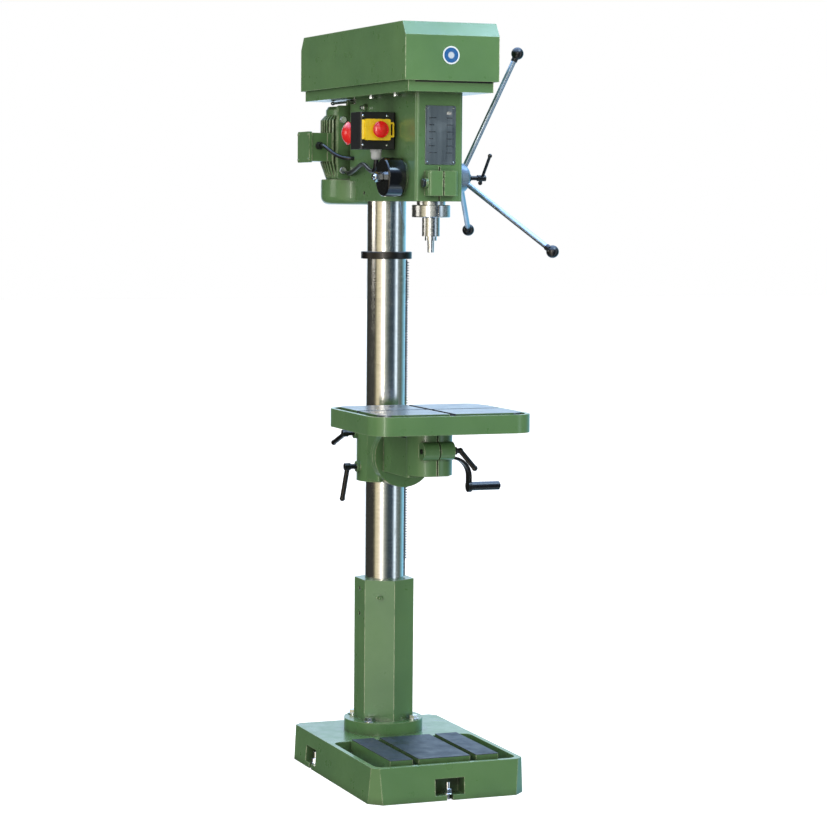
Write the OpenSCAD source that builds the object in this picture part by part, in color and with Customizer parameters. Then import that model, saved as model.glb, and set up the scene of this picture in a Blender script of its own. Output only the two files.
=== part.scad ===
// Floor-standing drill press with a rack-and-crank table.
// Millimetres, +Z up, front towards -Y. The origin is on the floor, under the column's axis.

/* [Overall] */
// Height of the whole machine, to the top of the belt hood
total_h = 1737.5; // [1730:0.5:1745]
// Distance from the column's axis forward to the spindle's axis
throat = 283; // [280:1:286]

/* [Base] */
// Width of the base at the floor
base_w = 378; // [370:1:400]
// Reach of the base in front of the column's axis
base_front = 431.5; // [425:0.5:440]
// Reach of the base behind the column's axis
base_rear = 132.5; // [128:0.5:140]
// Height of the base's deck
deck_h = 83; // [78:1:86]
// Height of the machined pads
pad_h = 92; // [88:1:94]
// Chamfer of the base's vertical corners
base_chamfer = 27; // [15:1:30]

/* [Column] */
// Outside diameter of the column
column_d = 92; // [92:1:92]
// Wall of the column tube
column_wall = 8; // [5:1:12]
// Height of the top of the hexagonal foot
foot_top = 448.5; // [430:0.5:450]
// Width of the hexagonal foot across its flats
foot_flats = 124; // [120:1:126]
// Diameter of the foot's round flange
foot_flange_d = 188; // [182:1:190]

/* [Table] */
// Width of the table
table_w = 388; // [370:1:388]
// Depth of the table
table_d = 332; // [310:1:332]
// Corner radius of the table
table_corner = 50; // [48:1:60]
// Height of the machined table top
table_top = 872; // [868:1:875]
// Height of the table's edge
table_edge = 45; // [40:1:46]
// Height of the tilt axis
tilt_z = 751; // [749:1:752]
// Radius of the tilt discs
tilt_disc_r = 73; // [65:1:73]

/* [Head] */
// Height of the head casting's underside
head_bottom = 1343; // [1340:1:1346]
// Height of the head casting's top
head_top = 1584; // [1584:1:1584]
// Front face of the head casting, ahead of the column's axis
head_front = 332; // [330:1:334]
// Diameter of the quill
quill_d = 65; // [65:1:65]
// Height of the feed shaft
feed_z = 1397; // [1396:1:1398]
// Length of one feed arm, from the hub's axis to the knob's centre
arm_l = 313; // [290:1:320]
// Angle that the feed arms lean outwards
arm_lean = 24.5; // [20:0.5:28]

/* [Hood] */
// Width of the belt hood
hood_w = 224; // [220:1:230]
// Height of the hood's lower edge
hood_bottom = 1608; // [1606:1:1610]
// Reach of the hood in front of the column's axis
hood_front = 405.5; // [400:0.5:408]
// Reach of the hood behind the column's axis
hood_rear = 302; // [302:0.5:304]

/* [Hidden] */
$fn = 64;

// Paint and metal colours
green = [0.33, 0.50, 0.30];
steel = [0.72, 0.73, 0.74];
dark_steel = [0.25, 0.25, 0.26];
bright = [0.86, 0.87, 0.88];
black = [0.08, 0.08, 0.08];
blue_steel = [0.50, 0.57, 0.62];

// Running clearance of a shaft in its bore, and the gap between parts that pass each other
fit = 0.05;
gap = 0.4;
sliver = 0.01;

column_r = column_d / 2;
spindle_y = -throat;
motor_y = 218;

// Base
base_draft = 6;
wall = 11;
well_front = -base_front + 18;
well_rear = -120;
well_floor = 55;
well_x = base_w / 2 - 18;
block_x = 132;
block_front = -395;
block_rear = -142;
slot_x = 70;
slot_w = 14;
slot_t_w = 24;
slot_t_h = 10;
slot_neck_h = 12;
anchor_w = 70;
anchor_sole = 12;
anchor_top = 50;
anchor_depth = 40;
anchor_side_y = -10;
anchor_inset = 15;
sole_recess = 22;

// Foot and its bolts
flange_top = 112;
flange_bolt_r = 79;
flange_bolts = 4;
bolt_r = 6;
column_bottom = 90;
column_top = 1530;

// Rack on the column, and its pinion
rack_module = 2;
rack_pitch = rack_module * PI;
rack_x = 46.4;
rack_back = 3.6;
rack_w = 18;
rack_bottom = 451;
rack_top = 1206;
rack_teeth_bottom = 490;
rack_teeth = 113;
lift_teeth = 12;
lift_r = rack_module * lift_teeth / 2;
tooth_add = 0.9 * rack_module;
tooth_ded = 1.2 * rack_module;
rack_pitch_x = rack_x + rack_back + tooth_ded;
lift_x = rack_pitch_x + lift_r;
lift_z = 762;
// Height of the first rack tooth, placed so that a tooth gap meets the lift pinion
rack_zero = lift_z + rack_pitch / 2 - rack_pitch * ceil((lift_z - rack_teeth_bottom) / rack_pitch - 1);
wheel_r = 18;
worm_r = 10.5;
crank_y = -24;
crank_z = lift_z - wheel_r - worm_r - 0.5;
collar_bottom = 1208;
collar_h = 17;
collar_r = 60;

// Table bracket
sleeve_r = 68;
sleeve_bottom = 683;
sleeve_top = 818;
disc_face_y = -110.2;
disc_t = 12;
upper_lever = [15, 795];
lower_lever = [-2, 717];
lever_x = -95;

// Table arm and table
arm_boss_r = 53;
arm_boss_bottom = 723;
arm_boss_top = 818;
stem_r = 25;
lug_y = -335;
lug_z = 781;
lug_r = 21;
table_bottom = table_top - table_edge;
table_rim = 10;
table_inset = 22;
gutter_depth = 10;

// Head, quill and spindle; the rear pad stands behind the column clamp, towards the motor
head_x = 57;
head_rear = 104;
clamp_rear = 62;
pad_bottom = 1390;
pad_top = 1572;
feed_y = -243;
quill_r = quill_d / 2;
quill_bottom = 1307;
quill_top = 1536;
feed_teeth = 13;
feed_r = rack_module * feed_teeth / 2;
quill_rack_y = feed_y - feed_r;
quill_rack_teeth = 23;
quill_rack_low = feed_z - 3 * rack_pitch;
quill_rack_high = quill_rack_low + (quill_rack_teeth + 1) * rack_pitch;
journal_r = 15.4;
// Turn of the first feed arm about the shaft, from straight back
arm_phase = 95;
arm_root_x = 85;
nose_r = 20;
nose_bottom = 1264.5;
spindle_r = 12.4;
spindle_top = 1700;
ring_r = 43.5;
ring_top = 1335;
lug_front = 359;
lug_top = 1411;
lug_bottom = 1355.5;
pinch_y = -346;
pinch_z = 1384;
sleeve_bearing_r = 31;

// Belt drive
tray_w = 203;
tray_front = 397.5;
tray_rear = 298;
tray_lip = 1622;
sheet = 2;
tray_bolt_x = 66;
tray_bolt_y = [-230, -73];
pulley_z = 1592;
step_h = 22;
spindle_steps = [86, 74, 61, 48];
motor_steps = [42, 56, 68, 79];
belt_step = 1;
belt_h = 10;
belt_t = 8.5;
hood_slope_y = 20;
hood_slope_z = 30;
hinge_y = hood_rear + 6;
hinge_z = 1602;

// Motor
motor_r = 85.5;
motor_core_r = 73;
motor_bottom = 1394;
motor_top = 1570;
cowl_r = 83.5;
cowl_bottom = 1335;
mount_y = 117;
mount_t = 10;
mount_bolt_x = 69;
mount_bolt_z = [1416, 1536];
tension_x = -50;
tension_z = 1579;
rod_x = 40;
rod_z = 1560;
rod_r = 8;
shaft_r = 12;
box_front = 178;
box_rear = 258;
box_low = 1438;
box_high = 1506;
gland_x = -108;
gland_z = 1475;

// Switches
switch_front = -204;
switch_gland_x = -96.5;
flap_hinge_x = -137;
button_x = -100;
start_x = -119;
button_z = 1504;
estop_y = -90;
estop_z = 1498;

// Routes of the two leads, and their radii
motor_route = [[-108, 172, 1475], [-108, 158, 1475], [-108, 144, 1474], [-106, 132, 1470],
    [-101, 119, 1463], [-94, 107, 1455], [-86, 96, 1449], [-78, 86, 1445.5], [-71, 77.5, 1444],
    [-64, 73.6, 1444], [-57, 73, 1444], [-51, 72.7, 1444]];
switch_route = [[-96.5, -185, 1452], [-96.5, -185, 1438], [-96, -181, 1424], [-95, -170, 1414],
    [-93, -154, 1411], [-91, -134, 1413], [-89, -112, 1418.5], [-86, -88, 1424.5],
    [-83, -65, 1427.5], [-80, -42, 1427], [-77, -18, 1423.5], [-74, 8, 1418.5],
    [-71, 34, 1414], [-69, 58, 1410.5], [-68, 74, 1409], [-66.5, 84, 1409],
    [-62.5, 90.5, 1409], [-57, 92, 1409], [-51, 92.3, 1409]];
motor_lead_r = 4.5;
switch_lead_r = 5.5;
// Where each lead enters the head: its radius, y and z
lead_entries = [[motor_lead_r, 73, 1444], [switch_lead_r, 92, 1409]];
lead_sides = 10;

// ---- Helpers ----

// Points along an arc of a circle in the plane
function arc(x, y, r, from, to, n = 8) =
    [for (i = [0:n]) let (a = from + (to - from) * i / n) [x + r * cos(a), y + r * sin(a)]];

// Outline of a rectangle with round corners
function round_rect(x0, x1, y0, y1, r) = concat(
    arc(x1 - r, y1 - r, r, 0, 90), arc(x0 + r, y1 - r, r, 90, 180),
    arc(x0 + r, y0 + r, r, 180, 270), arc(x1 - r, y0 + r, r, 270, 360));

// Outline of a rectangle with chamfered corners
function chamfer_rect(x0, x1, y0, y1, c) = [[x1, y1 - c], [x1 - c, y1], [x0 + c, y1],
    [x0, y1 - c], [x0, y0 + c], [x0 + c, y0], [x1 - c, y0], [x1, y0 + c]];

// Outline of a spur gear with straight-sided teeth
function gear_outline(r, teeth, add, ded) = [for (i = [0:teeth - 1])
    for (p = [[-0.36, -ded], [-0.16, add], [0.16, add], [0.36, -ded]])
        let (a = (i + p.x * 0.86) * 360 / teeth) [(r + p.y) * cos(a), (r + p.y) * sin(a)]];

// A vector of length one along v
function unit(v) = v / norm(v);

// Box between two corners
module block(x0, x1, y0, y1, z0, z1)
    translate([x0, y0, z0]) cube([x1 - x0, y1 - y0, z1 - z0]);

// Outline in the YZ plane, run along X
module along_x(x0, x1) translate([x0, 0, 0]) rotate([90, 0, 90]) linear_extrude(x1 - x0) children();

// Outline in the XZ plane, run along Y
module along_y(y0, y1) translate([0, y1, 0]) rotate([90, 0, 0]) linear_extrude(y1 - y0) children();

// Round bars along each axis, given where they start and end
module bar_x(r, x0, x1, y, z) translate([x0, y, z]) rotate([0, 90, 0]) cylinder(r = r, h = x1 - x0);
module bar_y(r, x, y0, y1, z) translate([x, y0, z]) rotate([-90, 0, 0]) cylinder(r = r, h = y1 - y0);
module bar_z(r, x, y, z0, z1) translate([x, y, z0]) cylinder(r = r, h = z1 - z0);

// Round bar between two points
module bar(a, b, r) {
    d = b - a;
    translate(a)
        rotate([0, acos(d.z / norm(d)), atan2(d.y, d.x)])
            cylinder(r = r, h = norm(d));
}

// Turns an outline about the vertical axis at x = 0, y = y
module rotate_extrude_at(y) translate([0, y, 0]) rotate_extrude() children();

// Hexagonal prism, given its width across the flats
module hexagon(flats, h) cylinder(r = flats / sqrt(3), h = h, $fn = 6);

// Plate with round corners, lying flat
module plate(x0, x1, y0, y1, z0, z1, r)
    translate([0, 0, z0]) linear_extrude(z1 - z0) polygon(round_rect(x0, x1, y0, y1, r));

// Hexagon-head bolt with a washer, standing on the origin, its shank reaching down
module hex_bolt(r, shank) {
    cylinder(r = r * 2.1, h = 2.5);
    translate([0, 0, 2.5]) hexagon(r * 3.1, 8);
    translate([0, 0, -shank]) cylinder(r = r, h = shank + 1);
}

// Socket set screw along +Z, its socket at the top
module set_screw(r, l) difference() {
    cylinder(r = r, h = l);
    translate([0, 0, l - 4]) hexagon(r, 5);
}

// Tube of a given radius swept along a list of points
module swept_tube(route, r, sides) {
    n = len(route);
    dirs = [for (i = [0:n - 1]) unit(route[min(i + 1, n - 1)] - route[max(i - 1, 0)])];
    ring = function (i) let (side = unit(cross([1, 0, 0], dirs[i])), top = cross(side, dirs[i]))
        [for (k = [0:sides - 1]) let (a = 360 * k / sides)
            route[i] + r * (cos(a) * side + sin(a) * top)];
    points = [for (i = [0:n - 1]) each ring(i)];
    walls = [for (i = [0:n - 2]) for (k = [0:sides - 1]) let (m = (k + 1) % sides)
        each [[i * sides + k, i * sides + m, (i + 1) * sides + m],
            [i * sides + k, (i + 1) * sides + m, (i + 1) * sides + k]]];
    near_cap = [for (k = [sides - 1:-1:0]) k];
    far_cap = [for (k = [0:sides - 1]) (n - 1) * sides + k];
    polyhedron(points, concat(walls, [near_cap, far_cap]));
}

// Clamp handle: a screw along X, a hub at its end and a bent arm
module clamp_handle(tip_x, hub_x, y, z, reach) {
    out = sign(hub_x - tip_x);
    bar_x(6 - fit, min(tip_x, hub_x), max(tip_x, hub_x), y, z);
    bar_x(8.5, hub_x - (out > 0 ? 6 : 8), hub_x + (out > 0 ? 8 : 6), y, z);
    bar([hub_x, y, z], [hub_x, y, z] + reach, 5.8);
    translate([hub_x, y, z] + reach) sphere(r = 6.6);
}

// ---- Base ----

// Outer body whose four walls lean inwards
module drafted_body() intersection() {
    along_y(-500, 300) polygon([[-base_w / 2, 0], [base_w / 2, 0],
        [base_w / 2 - base_draft, deck_h], [base_draft - base_w / 2, deck_h]]);
    along_x(-300, 300) polygon([[-base_front, 0], [base_rear, 0],
        [base_rear - base_draft, deck_h], [base_draft - base_front, deck_h]]);
    linear_extrude(deck_h) polygon(chamfer_rect(-base_w / 2, base_w / 2,
        -base_front, base_rear, base_chamfer));
}

// T-slot cut along Y, with its mouth at height top
module t_slot_y(x, y0, y1, top) {
    block(x - slot_w / 2, x + slot_w / 2, y0, y1, top - slot_neck_h - 1, top + 1);
    block(x - slot_t_w / 2, x + slot_t_w / 2, y0, y1, top - slot_neck_h - slot_t_h, top - slot_neck_h);
}

// Anchor recess facing -Y with its open notch in the sole
module anchor_cut() {
    block(-anchor_w / 2, anchor_w / 2, -20, anchor_depth, anchor_sole, anchor_top);
    block(-7, 7, -20, anchor_inset, -1, anchor_sole + 1);
    bar_z(7, 0, anchor_inset, -1, anchor_sole + 1);
}

// Places one thing at each of the three anchor recesses
module at_anchors() {
    translate([0, -base_front, 0]) children();
    translate([-base_w / 2, anchor_side_y, 0]) rotate([0, 0, -90]) children();
    translate([base_w / 2, anchor_side_y, 0]) rotate([0, 0, 90]) children();
}

module base_casting() color(green) difference() {
    union() {
        difference() {
            drafted_body();
            plate(-well_x, well_x, well_front, well_rear, well_floor, deck_h + 1, 22);
            for (x = [7, wall - base_w / 2 + base_draft])
                for (y = [[7, base_rear - 18], [well_rear + wall, -7]])
                    block(x, x + base_w / 2 - wall - 7 - base_draft, y[0], y[1], -1, sole_recess);
            for (x = [7, wall - base_w / 2 + base_draft])
                for (y = [[-271, -137], [18 - base_front, -285]])
                    block(x, x + base_w / 2 - wall - 7 - base_draft, y[0], y[1], -1, sole_recess);
        }
        difference() {
            block(-block_x, block_x, block_front, block_rear, well_floor - 1, pad_h);
            for (x = [-slot_x, slot_x]) t_slot_y(x, block_front - 1, block_rear + 1, pad_h);
        }
        intersection() {
            drafted_body();
            at_anchors() block(-anchor_w / 2 - 9, anchor_w / 2 + 9, 0, anchor_depth + 9, 0, anchor_top + 4);
        }
    }
    at_anchors() anchor_cut();
    for (i = [0:flange_bolts - 1])
        rotate([0, 0, 45 + i * 360 / flange_bolts])
            bar_z(bolt_r + fit, flange_bolt_r, 0, deck_h - 30, deck_h + 1);
}

module hold_down_bolts() color(bright) at_anchors() translate([0, anchor_inset, 0]) {
    bar_z(5.5, 0, 0, 0.2, 40);
    bar_z(12, 0, 0, anchor_sole + sliver, anchor_sole + 2.5);
    translate([0, 0, anchor_sole + 2.5]) hexagon(18, 10);
}

// ---- Column ----

module column_foot() color(green) difference() {
    union() {
        bar_z(foot_flange_d / 2, 0, 0, deck_h, flange_top);
        translate([0, 0, deck_h]) rotate([0, 0, 90]) hexagon(foot_flats, foot_top - deck_h);
        bar_y(4, -33, -65, -50, 408);
    }
    bar_z(column_r + fit, 0, 0, deck_h - 1, foot_top + 1);
    for (i = [0:flange_bolts - 1])
        rotate([0, 0, 45 + i * 360 / flange_bolts])
            bar_z(bolt_r + 0.5, flange_bolt_r, 0, deck_h - 1, flange_top + 1);
    for (z = [365, 425]) bar_x(5 + fit, -70, -column_r, 0, z);
}

module foot_bolts() color(steel)
    for (i = [0:flange_bolts - 1])
        rotate([0, 0, 45 + i * 360 / flange_bolts])
            translate([flange_bolt_r, 0, flange_top]) hex_bolt(bolt_r, 54);

// Socket set screws in the foot, the collar and the head, and the bolt that pinches the quill's sleeve
module clamp_screws() color(dark_steel) {
    for (z = [365, 425])
        translate([-column_r - 0.1, 0, z]) rotate([0, -90, 0]) set_screw(5, 15);
    translate([-column_r - 0.1, 0, collar_bottom + collar_h / 2]) rotate([0, -90, 0]) set_screw(3, 14);
    for (z = [1362, 1470])
        translate([-column_r - 0.1, 0, z]) rotate([0, -90, 0]) set_screw(5, 10.5);
    translate([-40.02, pinch_y, pinch_z]) rotate([0, -90, 0]) hexagon(16, 7);
    bar_x(5, -41, 35, pinch_y, pinch_z);
}

module column_tube() color(steel) difference() {
    bar_z(column_r, 0, 0, column_bottom, column_top);
    bar_z(column_r - column_wall, 0, 0, column_bottom - 1, column_top + 1);
}

module rack_collar() color(black) difference() {
    rotate_extrude() polygon([[column_r + fit, collar_bottom], [collar_r - 1, collar_bottom],
        [collar_r, collar_bottom + 1], [collar_r, collar_bottom + collar_h - 1],
        [collar_r - 1, collar_bottom + collar_h], [column_r + fit, collar_bottom + collar_h]]);
    bar_x(3 + fit, -70, -column_r, 0, collar_bottom + collar_h / 2);
}

// ---- Rack and table lift ----

module column_rack() color(steel) along_y(-rack_w / 2, rack_w / 2) polygon(concat(
    [[rack_x, rack_top], [rack_x, rack_bottom], [rack_x + rack_back, rack_bottom],
        [rack_x + rack_back, rack_teeth_bottom]],
    [for (i = [0:rack_teeth - 1])
        for (p = [[-0.31, -tooth_ded], [-0.16, tooth_add], [0.16, tooth_add], [0.31, -tooth_ded]])
            [rack_pitch_x + p[1], rack_zero + (i + p[0]) * rack_pitch]],
    [[rack_x + rack_back, rack_top]]));

module table_bracket() color(green) difference() {
    union() {
        bar_z(sleeve_r, 0, 0, sleeve_bottom, sleeve_top);
        plate(-58, 58, disc_face_y + disc_t - 1, -20, 690, 806, 10);
        bar_y(tilt_disc_r, 0, disc_face_y, disc_face_y + disc_t, tilt_z);
        plate(30, 98, crank_y - 22, 28, 714, 790, 8);
        for (p = [upper_lever, lower_lever]) bar_x(13, -74, -40, p[0], p[1]);
    }
    bar_z(column_r + fit, 0, 0, sleeve_bottom - 1, sleeve_top + 1);
    block(40, rack_pitch_x + tooth_add + gap, -rack_w / 2 - gap, rack_w / 2 + gap,
        sleeve_bottom - 1, sleeve_top + 1);
    bar_y(wheel_r + 1, lift_x, crank_y - 14, 12, lift_z);
    bar_y(6 + fit, lift_x, crank_y - 23, 29, lift_z);
    bar_x(worm_r + gap, 50, 84, crank_y, crank_z);
    bar_x(8 + fit, 80, 99, crank_y, crank_z);
    bar_y(10 + fit, 0, disc_face_y - 1, -62, tilt_z);
    bar_y(17, 0, -64, -40, tilt_z);
    for (p = [upper_lever, lower_lever]) bar_x(6, -80, -40, p[0], p[1]);
}

module lift_gear() color(steel) {
    translate([lift_x, 9, lift_z]) rotate([90, 0, 0])
        linear_extrude(18) rotate([0, 0, 180])
            polygon(gear_outline(lift_r, lift_teeth, tooth_add, tooth_ded));
    translate([lift_x, crank_y + 7, lift_z]) rotate([90, 0, 0])
        linear_extrude(14) polygon(gear_outline(wheel_r - 2, 18, 2, 2));
    bar_y(6, lift_x, crank_y - 22, 28, lift_z);
}

module crank_shaft() color(steel) {
    bar_x(worm_r, 52, 79, crank_y, crank_z);
    bar_x(8, 78, 125.9, crank_y, crank_z);
}

// Flat bar that leaves the hub outwards and bends down to the grip
module crank_arm() color(black) {
    difference() {
        bar_x(14, 104, 126, crank_y, crank_z);
        bar_x(8 + sliver, 103, 127, crank_y, crank_z);
    }
    along_y(crank_y - 11, crank_y + 11) polygon(concat(
        [[126, crank_z - 3], [126, crank_z + 4]],
        arc(160, crank_z - 46, 50, 90, 0, 10),
        [[210, crank_z - 79], [203, crank_z - 79]],
        arc(160, crank_z - 46, 43, 0, 90, 10)));
    bar_x(14, 203, 211, crank_y, crank_z - 70);
    bar_x(5, 210, 288, crank_y, crank_z - 70);
}

module crank_grip() color(black) difference() {
    bar_x(10.5, 212, 285, crank_y, crank_z - 70);
    bar_x(5 + fit, 211, 286, crank_y, crank_z - 70);
}

// ---- Table ----

module table_arm() color(green) difference() {
    union() {
        bar_y(tilt_disc_r, 0, disc_face_y - 17, disc_face_y - gap, tilt_z);
        plate(-52, 52, spindle_y, disc_face_y - 8, 717, 806, 6);
        bar_z(arm_boss_r, 0, spindle_y, arm_boss_bottom, arm_boss_top);
        bar_x(lug_r, -39, 36, lug_y, lug_z);
        block(-34, 34, lug_y, spindle_y, lug_z - lug_r, lug_z + lug_r);
    }
    plate(-40, 40, spindle_y + 44, disc_face_y - 18, 700, 738, 8);
    bar_y(19, 0, disc_face_y - 31, disc_face_y - 17, tilt_z);
    bar_z(stem_r + fit, 0, spindle_y, arm_boss_bottom - 1, arm_boss_top + 1);
    block(-1.5, 1.5, lug_y - lug_r - 1, spindle_y, arm_boss_bottom - 1, arm_boss_top + 1);
    bar_x(6, -40, 37, lug_y - 4, lug_z);
    bar_y(10 + fit, 0, disc_face_y - 20, disc_face_y + 1, tilt_z);
}

module tilt_bolt() color(dark_steel) {
    bar_y(10, 0, disc_face_y - 18, -51, tilt_z);
    translate([0, disc_face_y - 17 - sliver, tilt_z]) rotate([90, 0, 0]) hexagon(30, 12);
    translate([0, -52, tilt_z]) rotate([90, 0, 0]) hexagon(27, 9);
}

// T-slot cut along X in the table top
module table_slot_x() {
    y = spindle_y;
    block(-200, 200, y - slot_w / 2, y + slot_w / 2, table_top - slot_neck_h - 1, table_top + 1);
    block(-200, 200, y - slot_t_w / 2, y + slot_t_w / 2,
        table_top - slot_neck_h - slot_t_h, table_top - slot_neck_h);
}

// Raised machined area inside the gutter
module table_pad(z0, z1) plate(table_inset - table_w / 2, table_w / 2 - table_inset,
    spindle_y - table_d / 2 + table_inset, spindle_y + table_d / 2 - table_inset,
    z0, z1, table_corner - table_inset);

module work_table() color(green) {
    x = table_w / 2;
    y0 = spindle_y - table_d / 2;
    y1 = spindle_y + table_d / 2;
    difference() {
        union() {
            plate(-x, x, y0, y1, table_bottom, table_top - 3, table_corner);
            table_pad(table_top - 4, table_top);
            bar_z(48, 0, spindle_y, arm_boss_top + gap, table_bottom + 5);
            bar_z(stem_r, 0, spindle_y, 735, arm_boss_top + 1);
        }
        difference() {
            plate(table_rim - x, x - table_rim, y0 + table_rim, y1 - table_rim,
                table_top - gutter_depth, table_top + 1, table_corner - table_rim);
            table_pad(table_top - gutter_depth - 1, table_top + 2);
        }
        intersection() {
            table_pad(table_top - 30, table_top + 1);
            union() {
                t_slot_y(0, y0, y1, table_top);
                table_slot_x();
            }
        }
        difference() {
            plate(12 - x, x - 12, y0 + 12, y1 - 12, table_bottom - 1, table_top - 32, table_corner - 12);
            bar_z(52, 0, spindle_y, table_bottom - 2, table_top);
            block(-8, 8, y0, y1, table_bottom - 2, table_top);
            block(-x, x, spindle_y - 8, spindle_y + 8, table_bottom - 2, table_top);
        }
        bar_z(12, 0, spindle_y, 734, table_top + 1);
    }
}

module table_lock_lever() color(black) {
    bar_x(6 - fit, -42, 54, lug_y - 4, lug_z);
    bar_x(9, 38, 44, lug_y - 4, lug_z);
    bar([54, lug_y - 4, lug_z], [90, lug_y - 4, lug_z - 41], 5.8);
    translate([54, lug_y - 4, lug_z]) sphere(r = 7);
    translate([90, lug_y - 4, lug_z - 41]) sphere(r = 6.6);
}

module upper_clamp_lever() color(black)
    clamp_handle(-column_r - 0.5, lever_x, upper_lever[0], upper_lever[1], [-4, 70, -28]);

module lower_clamp_lever() color(black)
    clamp_handle(-column_r - 0.5, lever_x, lower_lever[0], lower_lever[1], [-5, 22, -78]);

// ---- Head ----

module head_outline() polygon(concat(
    arc(head_x - 6, head_rear - 6, 6, 0, 90), arc(6 - head_x, head_rear - 6, 6, 90, 180),
    arc(9 - head_x, 9 - head_front, 9, 180, 270), arc(head_x - 9, 9 - head_front, 9, 270, 360)));

module head_casting() color(green) difference() {
    union() {
        translate([0, 0, head_bottom]) linear_extrude(head_top - head_bottom) head_outline();
        plate(-35, 35, -lug_front, 20 - head_front, lug_bottom, lug_top, 8);
        bar_x(40, -62, 50, feed_y, feed_z);
        bar_x(11, -40, -35, pinch_y, pinch_z);
        bar_x(9, -64, -55, -10, rod_z);
    }
    block(-60, 60, clamp_rear, 110, head_bottom - 1, pad_bottom);
    block(-60, 60, clamp_rear, 110, pad_top, head_top + 1);
    plate(-47, 47, 57, head_rear - 8, head_bottom, 1545, 6);
    bar_z(column_r + fit, 0, 0, head_bottom - 1, column_top + 1);
    bar_z(quill_r + fit, 0, spindle_y, head_bottom - 1, 1545);
    bar_z(sleeve_bearing_r + fit, 0, spindle_y, 1540, head_top + 1);
    bar_x(journal_r + fit, -63, 58, feed_y, feed_z);
    plate(-43, 43, -214, -60, head_bottom - 1, 1560, 10);
    block(-1.5, 1.5, -lug_front - 1, spindle_y, head_bottom - 1, 1420);
    bar_x(5 + fit, -41, 36, pinch_y, pinch_z);
    for (x = [-rod_x, rod_x]) bar_y(rod_r + fit, x, -25, head_rear + 1, rod_z);
    bar_y(3 + fit, tension_x, 25, clamp_rear + 1, tension_z);
    bar_x(4 + fit, -65, -rod_x, -10, rod_z);
    for (z = [1362, 1470]) bar_x(5 + fit, -65, -column_r, 0, z);
    for (p = lead_entries) bar_x(p[0] + 0.4, -60, -45, p[1], p[2]);
}

// Lock screw of the motor's rods, the bolts through the tray's floor and the data plate's rivets
module head_fixings() color(bright) {
    for (x = [-30, 33], z = [1430, 1551])
        translate([x, -head_front - 1.22, z]) rotate([90, 0, 0]) cylinder(r1 = 2.2, r2 = 1.4, h = 1.2);
    translate([-64 - sliver, -10, rod_z]) rotate([0, -90, 0]) {
        cylinder(r = 7, h = 1.5);
        translate([0, 0, 1.4]) hexagon(10, 6);
    }
    bar_x(4, -65, -rod_x - rod_r - 0.1, -10, rod_z);
    for (x = [-tray_bolt_x, tray_bolt_x], y = tray_bolt_y) {
        bar_z(3, x, y, head_top - 2, head_top + 7);
        translate([x, y, head_top - 5]) hexagon(10, 5 - sliver);
        translate([x, y, head_top + sheet + sliver]) hexagon(10, 4);
    }
}

module data_plate() color(steel)
    translate([0, -head_front - sliver, 0]) rotate([90, 0, 0])
        linear_extrude(1.2) polygon(round_rect(-35, 38, 1425, 1556, 4));

module quill() color(steel) difference() {
    bar_z(quill_r, 0, spindle_y, quill_bottom, quill_top);
    bar_z(17.5, 0, spindle_y, quill_bottom - 1, quill_top + 1);
    for (z = [quill_bottom - 1, quill_top - 16]) bar_z(22, 0, spindle_y, z, z + 17);
    along_x(-40, 40) polygon(concat(
        [[quill_rack_y + 30, quill_rack_low], [quill_rack_y + tooth_add, quill_rack_low]],
        [for (i = [0:quill_rack_teeth - 1])
            for (p = [[-0.34, tooth_add], [-0.19, -tooth_ded], [0.19, -tooth_ded], [0.34, tooth_add]])
                [quill_rack_y + p[1], quill_rack_low + (i + 1 + p[0]) * rack_pitch]],
        [[quill_rack_y + tooth_add, quill_rack_high], [quill_rack_y + 30, quill_rack_high]]));
}

module quill_ring() color(steel) difference() {
    rotate_extrude_at(spindle_y) polygon([[quill_r + sliver, quill_bottom], [ring_r - 1.5, quill_bottom],
        [ring_r, quill_bottom + 1.5], [ring_r, ring_top - 1.5], [ring_r - 1.5, ring_top],
        [quill_r + sliver, ring_top]]);
    block(-1, 1, spindle_y - ring_r - 1, spindle_y, quill_bottom - 1, ring_top + 1);
}

module quill_bearings() color(bright)
    for (z = [quill_bottom, quill_top - 15])
        difference() {
            bar_z(22 - sliver, 0, spindle_y, z + 0.2, z + 14.8);
            bar_z(spindle_r + fit, 0, spindle_y, z, z + 15);
        }

module spindle() color(steel) difference() {
    union() {
        bar_z(nose_r, 0, spindle_y, nose_bottom, quill_bottom - gap);
        bar_z(spindle_r, 0, spindle_y, nose_bottom, spindle_top);
    }
    bar_z(8 + fit, 0, spindle_y, nose_bottom - 1, nose_bottom + 32);
    bar_x(5, -25, 25, spindle_y, nose_bottom + 36);
}

module taper_arbor() color(bright) rotate_extrude_at(spindle_y) polygon([[0, 1227.8], [6.9, 1227.8],
    [7.3, 1228.4], [7.9, 1254.6], [13.5, 1254.6], [13.5, nose_bottom - sliver],
    [8, nose_bottom - sliver], [8, nose_bottom + 30], [0, nose_bottom + 30]]);

// ---- Feed ----

module feed_shaft() color(steel) {
    along_x(-18, 18) translate([feed_y, feed_z]) rotate([0, 0, 180])
        polygon(gear_outline(feed_r, feed_teeth, tooth_add, tooth_ded));
    bar_x(feed_r - tooth_ded, -30, 30, feed_y, feed_z);
    bar_x(journal_r, 22, 57.5, feed_y, feed_z);
    bar_x(journal_r, -60, -22, feed_y, feed_z);
    bar_x(7, -127, -59, feed_y, feed_z);
    bar_x(8, 57, 84, feed_y, feed_z);
    for (x = [-105, -113.5]) translate([x, feed_y, feed_z]) rotate([0, -90, 0]) hexagon(20, 8);
}

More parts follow.
